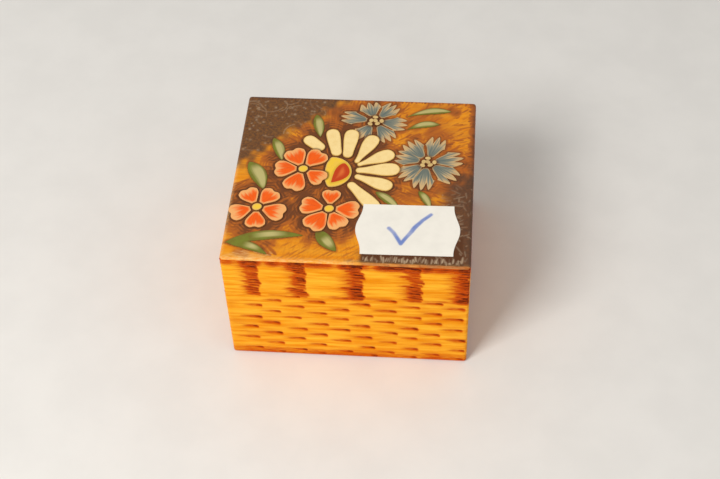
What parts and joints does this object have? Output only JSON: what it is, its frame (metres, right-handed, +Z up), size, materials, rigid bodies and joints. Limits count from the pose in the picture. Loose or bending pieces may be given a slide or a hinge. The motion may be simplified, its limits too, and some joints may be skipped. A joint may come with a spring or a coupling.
{
  "type": "hinged trinket box",
  "caption": "Small square wooden trinket box with a hinged lid, burnt dash pattern round its sides, painted flowers on the lid panel and nailed brass hinges at the back.",
  "frame": {"origin": "middle of the underside of the wooden box, on the surface that it stands on", "axes": "+Z up, +X to the right as seen from the front, the front faces -Y and the hinges are at +Y"},
  "size_m": [0.061, 0.06, 0.0381],
  "materials": {
    "honey_wood": "burnt pattern under glossy amber varnish",
    "panel_wood": "scorched and painted under glossy varnish",
    "bottom_wood": "bare planed wood",
    "hinge_brass": "aged brass sheet",
    "nail_brass": "polished brass",
    "pin_steel": "drawn steel wire",
    "label_paper": "matte white paper"
  },
  "bodies": {
    "base": {"front_wall": "honey_wood", "back_wall": "honey_wood", "left_wall": "honey_wood", "right_wall": "honey_wood", "bottom_panel": "bottom_wood", "left_hinge_base_leaf": "hinge_brass", "right_hinge_base_leaf": "hinge_brass", "left_hinge_pin": "pin_steel", "right_hinge_pin": "pin_steel", "left_hinge_base_nails": "nail_brass", "right_hinge_base_nails": "nail_brass"},
    "lid": {"lid_front_rail": "honey_wood", "lid_back_rail": "honey_wood", "lid_left_rail": "honey_wood", "lid_right_rail": "honey_wood", "lid_panel": "panel_wood", "left_hinge_lid_leaf": "hinge_brass", "right_hinge_lid_leaf": "hinge_brass", "left_hinge_lid_nails": "nail_brass", "right_hinge_lid_nails": "nail_brass", "price_label": "label_paper"}
  },
  "joints": [
    {"name": "lid_hinge", "type": "hinge", "parent": "base", "child": "lid", "pos_m": [0, 0.03005, 0.0247], "axis": [-1, 0, 0], "range_deg": [0, 175]}
  ]
}
